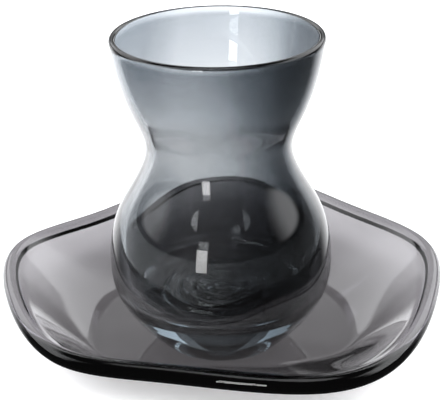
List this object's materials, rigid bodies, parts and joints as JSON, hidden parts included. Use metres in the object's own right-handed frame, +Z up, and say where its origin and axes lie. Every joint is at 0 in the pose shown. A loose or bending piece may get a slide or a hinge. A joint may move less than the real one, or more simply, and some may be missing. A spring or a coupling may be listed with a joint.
{
  "type": "tea glass with saucer",
  "caption": "Empty hourglass tea glass of smoke-tinted glass with a thick clear base, standing on a free-form dished smoked glass saucer.",
  "frame": {"origin": "middle of the saucer's outline at the height of the surface it stands on", "axes": "+Z up; +Y from the glass towards the saucer's pointed back; +X to the right as seen from the front"},
  "size_m": [0.128, 0.144, 0.092],
  "materials": {
    "cup_glass": "polished glass with a smoke-grey lustre",
    "saucer_glass": "polished smoked glass"
  },
  "bodies": {
    "root": {"glass": "cup_glass", "saucer": "saucer_glass"}
  },
  "joints": []
}
